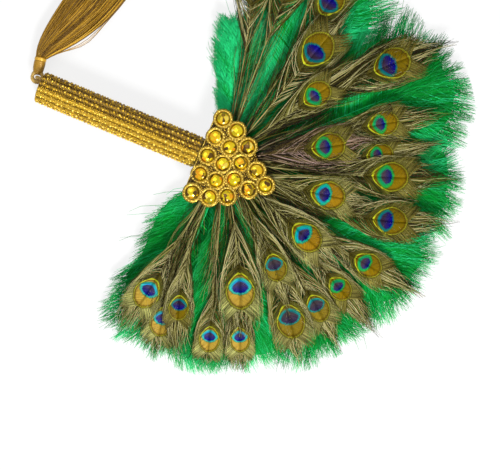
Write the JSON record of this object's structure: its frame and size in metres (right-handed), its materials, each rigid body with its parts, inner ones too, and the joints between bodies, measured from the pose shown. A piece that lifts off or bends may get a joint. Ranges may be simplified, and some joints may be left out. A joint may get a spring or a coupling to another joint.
{
  "type": "feather fan",
  "caption": "Fixed hand fan of peacock eye feathers over green plumes on a round braided handle, with a cluster of set stones at the throat and a tassel that swings on the butt.",
  "frame": {"origin": "the point that the quills spread from, on the flat rear face of the back pad", "axes": "+Z towards the jewelled front, +Y along the handle towards the feather tips, +X to the right of someone who looks at the front with the handle down"},
  "size_m": [0.4695, 0.4596, 0.0342],
  "materials": {
    "core_wood": "plain turned dowel",
    "braid_gold": "gold beads sewn in rows on a braid",
    "board_card": "plain board",
    "pad_felt": "green felt",
    "setting_gold": "gold plated cups with beaded rims",
    "stone_gold": "polished foiled domes",
    "plume_green": "dyed down, soft",
    "eye_feather": "olive and bronze barbs with a blue and green eye",
    "loop_cord": "twisted cord",
    "tassel_thread": "silky gold thread"
  },
  "bodies": {
    "fan": {"handle_core": "core_wood", "braid_strip_01": "braid_gold", "braid_strip_02": "braid_gold", "braid_strip_03": "braid_gold", "feather_board": "board_card", "back_pad": "pad_felt", "gem_setting": "setting_gold", "gem_stone_01": "stone_gold", "gem_stone_02": "stone_gold", "gem_stone_03": "stone_gold", "gem_stone_04": "stone_gold", "gem_stone_05": "stone_gold", "gem_stone_06": "stone_gold", "gem_stone_07": "stone_gold", "gem_stone_08": "stone_gold", "gem_stone_09": "stone_gold", "gem_stone_10": "stone_gold", "gem_stone_11": "stone_gold", "gem_stone_12": "stone_gold", "gem_stone_13": "stone_gold", "gem_stone_14": "stone_gold", "gem_stone_15": "stone_gold", "gem_stone_16": "stone_gold", "gem_stone_17": "stone_gold", "green_plume_01": "plume_green", "green_plume_02": "plume_green", "green_plume_03": "plume_green", "green_plume_04": "plume_green", "green_plume_05": "plume_green", "green_plume_06": "plume_green", "green_plume_07": "plume_green", "green_plume_08": "plume_green", "eye_feather_01": "eye_feather", "eye_feather_02": "eye_feather", "eye_feather_03": "eye_feather", "eye_feather_04": "eye_feather", "eye_feather_05": "eye_feather", "eye_feather_06": "eye_feather", "eye_feather_07": "eye_feather", "eye_feather_08": "eye_feather", "eye_feather_09": "eye_feather", "eye_feather_10": "eye_feather", "eye_feather_11": "eye_feather", "eye_feather_12": "eye_feather", "eye_feather_13": "eye_feather", "eye_feather_14": "eye_feather", "eye_feather_15": "eye_feather", "eye_feather_16": "eye_feather", "eye_feather_17": "eye_feather", "eye_feather_18": "eye_feather", "eye_feather_19": "eye_feather", "eye_feather_20": "eye_feather", "eye_feather_21": "eye_feather", "eye_feather_22": "eye_feather", "eye_feather_23": "eye_feather", "eye_feather_24": "eye_feather", "hanging_loop": "loop_cord"},
    "tassel_link": {"tassel_loop": "loop_cord"},
    "tassel": {"tassel_head": "tassel_thread", "tassel_skirt": "tassel_thread"}
  },
  "joints": [
    {"name": "tassel_swing", "type": "hinge", "parent": "fan", "child": "tassel_link", "pos_m": [-0.0075, -0.2079, 0.0061], "axis": [0, 0, 1], "range_deg": [-25, 145]},
    {"name": "tassel_lift", "type": "hinge", "parent": "tassel_link", "child": "tassel", "pos_m": [-0.0139, -0.20903, 0.0061], "axis": [-0.1736, 0.9848, 0], "range_deg": [-60, 85]}
  ]
}
